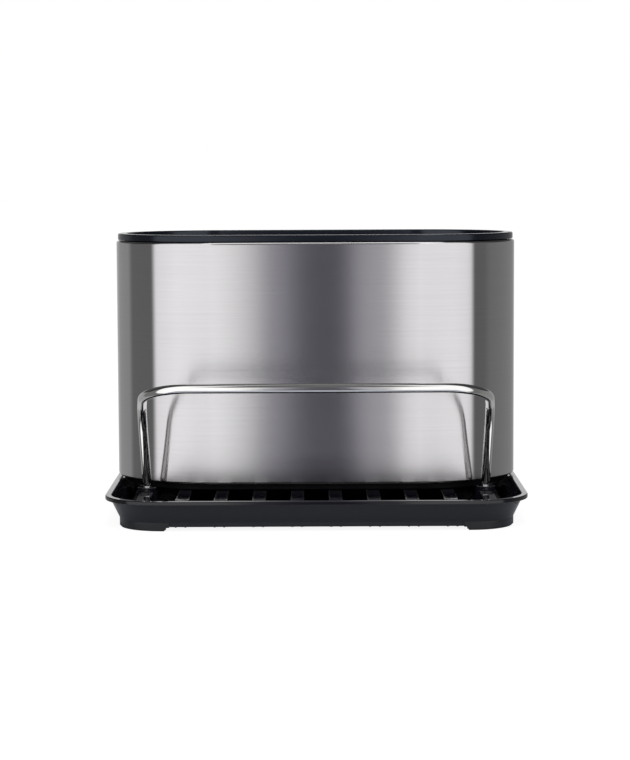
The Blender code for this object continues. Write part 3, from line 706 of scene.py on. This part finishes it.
def build_liner(finish):
    """A drafted tub that hangs by its rim, with guides for the divider and drainage slots."""
    chamfer = LINER_FLOOR_CHAMFER
    bottom = LINER_LOW.z
    outer_low = inner_inset(bottom + chamfer) - LINER_WALL
    rim_inner = RIM_INSET + RIM_WIDTH
    rounding = RIM_ROUNDING
    rim_top = LINER_HIGH.z
    low_inner = inner_inset(LINER_FLOOR + chamfer)
    profile = [(outer_low + chamfer, bottom)]
    profile += arc((outer_low + chamfer, bottom + chamfer), chamfer, 250, 180)
    profile += [(LINER_TOP_INSET, RIM_BOTTOM)]
    profile += arc((RIM_INSET + rounding / 3, RIM_BOTTOM + rounding / 3), rounding / 3, 270, 180)
    profile += arc((RIM_INSET + rounding, rim_top - rounding), rounding, 180, 90, RIM_STEPS)
    profile += arc((rim_inner - rounding, rim_top - rounding), rounding, 90, 0, RIM_STEPS)
    profile += [(inner_inset(RIM_BOTTOM), RIM_BOTTOM - (rim_top - RIM_BOTTOM) / 2)]
    profile += arc((low_inner + chamfer, LINER_FLOOR + chamfer), chamfer, 180, 270)
    liner = make_piece("insert", loft(obround, profile), finish,
                       "liner", ["liner"])

    guides = bmesh.new()
    middle = (DIVIDER_LOW.x + DIVIDER_HIGH.x) / 2
    spread = (DIVIDER_HIGH.x - DIVIDER_LOW.x) / 2 + CLEARANCE + GUIDE_THICKNESS / 2
    for side in (-1, 1):
        for end in (-1, 1):
            add_guide(guides, middle + side * spread, end)
    cut(liner, guides, "UNION")
    slots = bmesh.new()
    for x in slot_places():
        add_prism(slots, slot_outline(x, SLEEVE_Y, SLOT_WIDTH, SLOT_LENGTH),
                  bottom - CLEARANCE, LINER_FLOOR + CLEARANCE)
    cut(liner, slots, "DIFFERENCE")
    round_edges(liner, CONTAINER_EDGE_ROUNDING)
    shade(liner)


def build_divider(finish):
    """A plate with a finger notch that stands between the guides."""
    low, high = DIVIDER_LOW.z, DIVIDER_HIGH.z
    chamfer = LINER_FLOOR_CHAMFER
    bottom = SLEEVE_RADIUS - inner_inset(low) - chamfer - CLEARANCE
    lower = SLEEVE_RADIUS - inner_inset(low + 2 * chamfer) - CLEARANCE
    upper = SLEEVE_RADIUS - inner_inset(high) - CLEARANCE
    outline = [(-bottom, low), (-lower, low + 2 * chamfer), (-upper, high)]
    outline += arc((0.0, high), DIVIDER_NOTCH_RADIUS, 180, 360, NOTCH_STEPS)
    outline += [(upper, high), (lower, low + 2 * chamfer), (bottom, low)]
    built = bmesh.new()
    add_block(built, *([(face, SLEEVE_Y + y, z) for y, z in outline]
                       for face in (DIVIDER_LOW.x, DIVIDER_HIGH.x)))
    divider = make_piece("partition", built, finish, "divider", ["divider"])
    round_edges(divider, DIVIDER_EDGE_ROUNDING, 3)
    shade(divider)


# Materials

def new_material(name):
    """A material, its node tree and its shader."""
    made = bpy.data.materials.new(name)
    made.use_nodes = True
    return made, made.node_tree, made.node_tree.nodes["Principled BSDF"]


def scaled_noise(tree, scale, detail, stretch=(1.0, 1.0, 1.0), roughness=0.5):
    """Noise in object space; stretch squeezes the pattern along each axis."""
    place = tree.nodes.new("ShaderNodeTexCoord")
    mapping = tree.nodes.new("ShaderNodeMapping")
    mapping.inputs["Scale"].default_value = stretch
    noise = tree.nodes.new("ShaderNodeTexNoise")
    noise.inputs["Scale"].default_value = scale
    noise.inputs["Detail"].default_value = detail
    noise.inputs["Roughness"].default_value = roughness
    tree.links.new(place.outputs["Object"], mapping.inputs["Vector"])
    tree.links.new(mapping.outputs["Vector"], noise.inputs["Vector"])
    return noise.outputs["Fac"]


def remap(tree, value, low, high, from_low, from_high):
    """Low where the value is from_low, high where it is from_high, clamped."""
    step = tree.nodes.new("ShaderNodeMapRange")
    step.inputs["From Min"].default_value = from_low
    step.inputs["From Max"].default_value = from_high
    step.inputs["To Min"].default_value = low
    step.inputs["To Max"].default_value = high
    tree.links.new(value, step.inputs["Value"])
    return step.outputs["Result"]


def combine(tree, operation, *values):
    """One step of arithmetic on numbers or sockets."""
    step = tree.nodes.new("ShaderNodeMath")
    step.operation = operation
    for socket, value in zip(step.inputs, values):
        if isinstance(value, (int, float)):
            socket.default_value = value
        else:
            tree.links.new(value, socket)
    return step.outputs["Value"]


def weighted_sum(tree, first, first_weight, second, second_weight):
    return combine(tree, "ADD", combine(tree, "MULTIPLY", first, first_weight),
                   combine(tree, "MULTIPLY", second, second_weight))


def coordinates(tree, kind):
    """X, Y and Z of one of the texture coordinates."""
    place = tree.nodes.new("ShaderNodeTexCoord")
    split = tree.nodes.new("ShaderNodeSeparateXYZ")
    tree.links.new(place.outputs[kind], split.inputs["Vector"])
    return split.outputs["X"], split.outputs["Y"], split.outputs["Z"]


def colour_ramp(tree, share, stops):
    """Colours along a share from 0 to 1; each stop is a share and a colour."""
    ramp = tree.nodes.new("ShaderNodeValToRGB")
    tree.links.new(share, ramp.inputs["Fac"])
    elements = ramp.color_ramp.elements
    while len(elements) < len(stops):
        elements.new(0.5)
    for element, (position, colour) in zip(elements, stops):
        element.position = position
        element.color = (*colour, 1.0)
    return ramp.outputs["Color"]


def tint(tree, value, dark, light):
    """A colour between two by a value from 0 to 1, and further beyond them."""
    mix = tree.nodes.new("ShaderNodeMix")
    mix.data_type = "RGBA"
    mix.clamp_factor = False
    mix.inputs["A"].default_value = (*dark, 1.0)
    mix.inputs["B"].default_value = (*light, 1.0)
    tree.links.new(value, mix.inputs["Factor"])
    return mix.outputs["Result"]


def bump(tree, shader, height, strength, distance):
    step = tree.nodes.new("ShaderNodeBump")
    step.inputs["Strength"].default_value = strength
    step.inputs["Distance"].default_value = distance
    tree.links.new(height, step.inputs["Height"])
    tree.links.new(step.outputs["Normal"], shader.inputs["Normal"])


def brushed_steel():
    """Grain that runs round the sleeve, with longer and shorter strokes and a faint cloudiness."""
    made, tree, shader = new_material("brushed_steel_look")
    fine = scaled_noise(tree, 1.0, 3.0, (22.0, 22.0, 6500.0), 0.6)
    broad = scaled_noise(tree, 1.0, 2.0, (7.0, 7.0, 1900.0), 0.5)
    grain = weighted_sum(tree, fine, 0.80, broad, 0.20)
    cloud = scaled_noise(tree, 28.0, 2.0, (1.0, 1.0, 1.6))
    mixed = weighted_sum(tree, grain, 0.85, cloud, 0.15)
    tree.links.new(tint(tree, remap(tree, mixed, 0.0, 1.0, *GRAIN_CORE), *STEEL_COLOURS),
                   shader.inputs["Base Color"])
    tree.links.new(remap(tree, mixed, *STEEL_ROUGHNESS, *GRAIN_CORE), shader.inputs["Roughness"])
    shader.inputs["Metallic"].default_value = 1.0
    shader.inputs["Anisotropic"].default_value = 1.0
    shader.inputs["Anisotropic Rotation"].default_value = STEEL_ROTATION
    tangent = tree.nodes.new("ShaderNodeTangent")
    tangent.direction_type = "RADIAL"
    tangent.axis = "Z"
    tree.links.new(tangent.outputs["Tangent"], shader.inputs["Tangent"])
    bump(tree, shader, grain, 0.05, 0.00002)
    return made


def chrome():
    """Bright plate with a hint of the drawn wire under it."""
    made, tree, shader = new_material("chrome_look")
    smear = scaled_noise(tree, 260.0, 3.0)
    tree.links.new(remap(tree, smear, *CHROME_ROUGHNESS, 0.35, 0.7), shader.inputs["Roughness"])
    shader.inputs["Base Color"].default_value = CHROME_COLOUR
    shader.inputs["Metallic"].default_value = 1.0
    bump(tree, shader, scaled_noise(tree, 420.0, 2.0), 0.05, 0.00003)
    return made


def near(tree, value, centre, reach):
    """1 where a value lies within reach of a centre, else 0."""
    gap = combine(tree, "ABSOLUTE", combine(tree, "SUBTRACT", value, centre))
    return combine(tree, "LESS_THAN", gap, reach)


def painted_rib_highlights(tree):
    """Painted highlights along the upper edges of the tray's ribs, brighter on the left ones."""
    x, y, z = coordinates(tree, "Object")
    share = combine(tree, "FRACT", combine(tree, "DIVIDE", x, RIB_PITCH))
    across = combine(tree, "MULTIPLY", combine(tree, "SUBTRACT", share, 0.5), RIB_PITCH)
    edge = (RIB_TOP_WIDTH - RIB_HIGHLIGHT_WIDTH) / 2
    reach = RIB_HIGHLIGHT_WIDTH / 2
    left = near(tree, across, -edge, reach)
    right = combine(tree, "MULTIPLY", near(tree, across, edge, reach), RIB_HIGHLIGHT_RIGHT_SHARE)
    level = near(tree, z, RIB_TOP, reach)
    inside = combine(tree, "GREATER_THAN", y, RIB_FRONT - RIB_END_SLOPE)
    return combine(tree, "MULTIPLY", combine(tree, "ADD", left, right),
                   combine(tree, "MULTIPLY", level, inside))


def gloss_black(name, edge_highlights):
    """Moulded gloss plastic: a faint waviness, hairline marks, a trace of dust and, when asked for,
    painted highlights along the ribs' upper edges.
    """
    made, tree, shader = new_material(name)
    wave = scaled_noise(tree, 90.0, 2.0)
    hair = scaled_noise(tree, 1.0, 2.0, (900.0, 60.0, 900.0), 0.7)
    dust = scaled_noise(tree, 1500.0, 2.0, roughness=0.7)
    dust_and_highlight = remap(tree, dust, 0.0, 1.0, 0.68, 0.76)
    # Painted highlights on the ribs' upper edges, added to the dust
    if edge_highlights:
        dust_and_highlight = combine(tree, "ADD", dust_and_highlight, combine(tree, "MULTIPLY", painted_rib_highlights(tree), RIB_HIGHLIGHT_LEVEL))
    tree.links.new(tint(tree, dust_and_highlight, *GLOSS_COLOURS), shader.inputs["Base Color"])
    marks = remap(tree, hair, *GLOSS_ROUGHNESS, 0.4, 0.7)
    rough = combine(tree, "ADD", marks, combine(tree, "MULTIPLY", dust_and_highlight, DUST_AND_HIGHLIGHT_ROUGHNESS))
    tree.links.new(rough, shader.inputs["Roughness"])
    bump(tree, shader, wave, 0.03, 0.0002)
    return made


def satin_black():
    """Moulded satin plastic with a fine spark texture."""
    made, tree, shader = new_material("satin_black_look")
    spark = scaled_noise(tree, 2600.0, 3.0, roughness=0.6)
    cloud = scaled_noise(tree, 60.0, 2.0)
    tree.links.new(tint(tree, cloud, *SATIN_COLOURS), shader.inputs["Base Color"])
    tree.links.new(remap(tree, spark, *SATIN_ROUGHNESS, *NOISE_CORE), shader.inputs["Roughness"])
    shader.inputs["Specular Tint"].default_value = SATIN_SHINE
    bump(tree, shader, spark, 0.06, 0.00006)
    return made


def matte_black():
    """Plastic of the sleeve's base, dull and deep black with a fine grain."""
    made, tree, shader = new_material("matte_black_look")
    grain = scaled_noise(tree, 2200.0, 3.0, roughness=0.6)
    tree.links.new(tint(tree, grain, *MATTE_COLOURS), shader.inputs["Base Color"])
    tree.links.new(remap(tree, grain, *MATTE_ROUGHNESS, *NOISE_CORE), shader.inputs["Roughness"])
    shader.inputs["Specular IOR Level"].default_value = MATTE_SHINE
    bump(tree, shader, grain, 0.08, 0.00006)
    return made


def black_rubber():
    """Dull rubber of the pads with a fine grit."""
    made, tree, shader = new_material("black_rubber_look")
    grit = scaled_noise(tree, 1800.0, 4.0, roughness=0.65)
    tree.links.new(tint(tree, grit, *RUBBER_COLOURS), shader.inputs["Base Color"])
    tree.links.new(remap(tree, grit, *RUBBER_ROUGHNESS, *NOISE_CORE), shader.inputs["Roughness"])
    bump(tree, shader, grit, 0.15, 0.00006)
    return made


# Studio

def build_world():
    """Bright screens from front left round to front right, darker to the sides, pale behind.

    Overhead it is dim, and so it is behind above a low strip. The camera itself meets plain white.
    """
    world = bpy.data.worlds.new("studio")
    bpy.context.scene.world = world
    world.use_nodes = True
    tree = world.node_tree
    background = tree.nodes["Background"]
    x, y, z = coordinates(tree, "Generated")
    azimuth = combine(tree, "ARCTAN2", x, combine(tree, "MULTIPLY", y, -1.0))
    screens = colour_ramp(tree, remap(tree, azimuth, 0.0, 1.0, -math.pi, math.pi),
                          [((degrees + 180) / 360, (level, level, level))
                           for degrees, level in SCREENS])
    ceiling = remap(tree, y, *CEILING_HEIGHTS, *CEILING_SPAN)
    above = combine(tree, "SUBTRACT", z, ceiling)
    overhead = remap(tree, above, *OVERHEAD_LEVELS, *OVERHEAD_EDGE)
    surround = combine(tree, "MULTIPLY", screens, overhead)
    seen = tree.nodes.new("ShaderNodeLightPath")
    strength = combine(tree, "MAXIMUM", surround, seen.outputs["Is Camera Ray"])
    tree.links.new(strength, background.inputs["Strength"])
    background.inputs["Color"].default_value = (1.0, 1.0, 1.0, 1.0)


def studio_sheet(name, corners, location):
    """A rectangle of the studio; gives it, its node tree and its shader."""
    mesh = bpy.data.meshes.new(name)
    mesh.from_pydata(corners, [], [(0, 1, 2, 3)])
    sheet = bpy.data.objects.new(name, mesh)
    sheet.location = location
    bpy.context.collection.objects.link(sheet)
    made, tree, shader = new_material(name + "_look")
    mesh.materials.append(made)
    return sheet, tree, shader


def make_dull(shader, colour):
    shader.inputs["Base Color"].default_value = colour
    shader.inputs["Roughness"].default_value = 1.0
    shader.inputs["Specular IOR Level"].default_value = 0.0


def show_in_gloss_only(sheet):
    sheet.visible_camera = False
    sheet.visible_diffuse = False
    sheet.visible_shadow = False


def build_floor():
    """A pale floor that keeps the object's shadow and meets the camera as nearly white."""
    corners = [(x, y, 0) for x, y in rectangle(0, 0, 2 * FLOOR_REACH, 2 * FLOOR_REACH)]
    floor, tree, shader = studio_sheet("studio_floor", corners, (0, 0, -FLOOR_DROP))
    make_dull(shader, FLOOR_GREY)
    seen = tree.nodes.new("ShaderNodeLightPath")
    glow = tree.nodes.new("ShaderNodeEmission")
    either = combine(tree, "MAXIMUM", seen.outputs["Is Camera Ray"], seen.outputs["Is Glossy Ray"])
    tree.links.new(combine(tree, "MULTIPLY", either, FLOOR_GLOW), glow.inputs["Strength"])
    total = tree.nodes.new("ShaderNodeAddShader")
    tree.links.new(shader.outputs["BSDF"], total.inputs[0])
    tree.links.new(glow.outputs["Emission"], total.inputs[1])
    tree.links.new(total.outputs["Shader"], tree.nodes["Material Output"].inputs["Surface"])
    floor.visible_glossy = False


def build_apron():
    """The floor round the object as gloss sees it; in front it ends where the table ends."""
    corners = [(-APRON_HALF, APRON_FRONT, 0), (APRON_HALF, APRON_FRONT, 0),
               (APRON_HALF, APRON_BACK, 0), (-APRON_HALF, APRON_BACK, 0)]
    apron, _, shader = studio_sheet("studio_apron", corners, (0, 0, -APRON_DROP))
    make_dull(shader, APRON_COLOUR)
    show_in_gloss_only(apron)


def gap_colour(level):
    """The darker a part of the gap is, the bluer."""
    cool = max(0.0, 1.0 - level / GAP_COOL_UNDER)
    return level, level * (1.0 - GAP_GREEN_LOSS * cool), level * (1.0 + GAP_BLUE_GAIN * cool)


def build_camera_gap():
    """The dark gap between the front screens, where the photographer stands; only gloss sees it.

    It is widest high up and a little wider low down.
    """
    half = GAP_WIDTH / 2
    corners = [(-half, 0, GAP_BOTTOM), (half, 0, GAP_BOTTOM),
               (half, 0, GAP_TOP), (-half, 0, GAP_TOP)]
    gap, tree, shader = studio_sheet("studio_gap", corners, (0, SLEEVE_Y - GAP_DISTANCE, 0))
    tree.nodes.remove(shader)
    x, _, z = coordinates(tree, "Object")
    away = combine(tree, "ABSOLUTE", x)
    low_down = remap(tree, z, GAP_LOW_SHARE, 0.0, *GAP_LOW_HEIGHTS)
    near_middle = remap(tree, away, 1.0, 0.0, *GAP_LOW_HALVES)
    widening = combine(tree, "SUBTRACT", 1.0, combine(tree, "MULTIPLY", low_down, near_middle))
    across = remap(tree, combine(tree, "MULTIPLY", x, widening), 0.0, 1.0, -half, half)
    lower = colour_ramp(tree, across, [(0.5 + millimetres / 1000 / GAP_WIDTH, gap_colour(level))
                                       for millimetres, level in GAP_LEVELS])
    upper = remap(tree, away, *GAP_HIGH_LEVELS, *GAP_HIGH_HALVES)
    mix = tree.nodes.new("ShaderNodeMix")
    mix.data_type = "RGBA"
    tree.links.new(remap(tree, z, 0.0, 1.0, *GAP_HIGH_HEIGHTS), mix.inputs["Factor"])
    tree.links.new(lower, mix.inputs["A"])
    tree.links.new(upper, mix.inputs["B"])
    glow = tree.nodes.new("ShaderNodeEmission")
    tree.links.new(mix.outputs["Result"], glow.inputs["Color"])
    tree.links.new(glow.outputs["Emission"], tree.nodes["Material Output"].inputs["Surface"])
    show_in_gloss_only(gap)


def build_lamp(rail):
    """One soft overhead lamp, for a shadow under the tray; the chrome doesn't mirror it."""
    light = bpy.data.lights.new("overhead_lamp", "AREA")
    light.shape = "DISK"
    light.size = LAMP_SIZE
    light.energy = LAMP_POWER
    lamp = bpy.data.objects.new("overhead_lamp", light)
    lamp.location = LAMP_PLACE
    lamp.rotation_euler = (LAMP_PLACE - LAMP_TARGET).to_track_quat("Z", "Y").to_euler()
    bpy.context.collection.objects.link(lamp)
    left_out = bpy.data.collections.new("not_lit_by_lamp")
    left_out.objects.link(rail)
    left_out.collection_objects[0].light_linking.link_state = "EXCLUDE"
    lamp.light_linking.receiver_collection = left_out


def build_camera():
    data = bpy.data.cameras.new("photo_camera")
    data.sensor_fit = "VERTICAL"
    data.sensor_height = SENSOR
    data.lens = FOCAL_PIXELS * SENSOR / IMAGE_HEIGHT
    data.clip_end = CAMERA_REACH
    camera = bpy.data.objects.new("photo_camera", data)
    camera.location = (CAMERA_X, SLEEVE_Y - CAMERA_DISTANCE, CAMERA_HEIGHT)
    aim = Matrix.Rotation(math.pi / 2 - CAMERA_PITCH, 3, "X") @ Matrix.Rotation(CAMERA_ROLL, 3, "Z")
    camera.rotation_euler = aim.to_euler()
    bpy.context.collection.objects.link(camera)
    bpy.context.scene.camera = camera


def main():
    bpy.context.scene.view_settings.view_transform = "Standard"
    steel = brushed_steel()
    wire = chrome()
    gloss = gloss_black("gloss_black_look", False)
    ribbed_gloss = gloss_black("ribbed_gloss_look", True)
    satin = satin_black()
    matte = matte_black()
    rubber = black_rubber()
    build_tray(ribbed_gloss)
    for place, sign_x, sign_y in (("front_left", -1, -1), ("front_right", 1, -1),
                                  ("back_left", -1, 1), ("back_right", 1, 1)):
        build_pad("pad_" + place, "foot_pad_" + place, sign_x, sign_y, rubber)
    build_grommet("grommet_left", "rail_grommet_left", -1, gloss)
    build_grommet("grommet_right", "rail_grommet_right", 1, gloss)
    rail = build_rail(wire)
    build_sleeve(steel)
    build_base(matte)
    build_liner(satin)
    build_divider(satin)
    build_world()
    build_floor()
    build_apron()
    build_camera_gap()
    build_lamp(rail)
    build_camera()


main()
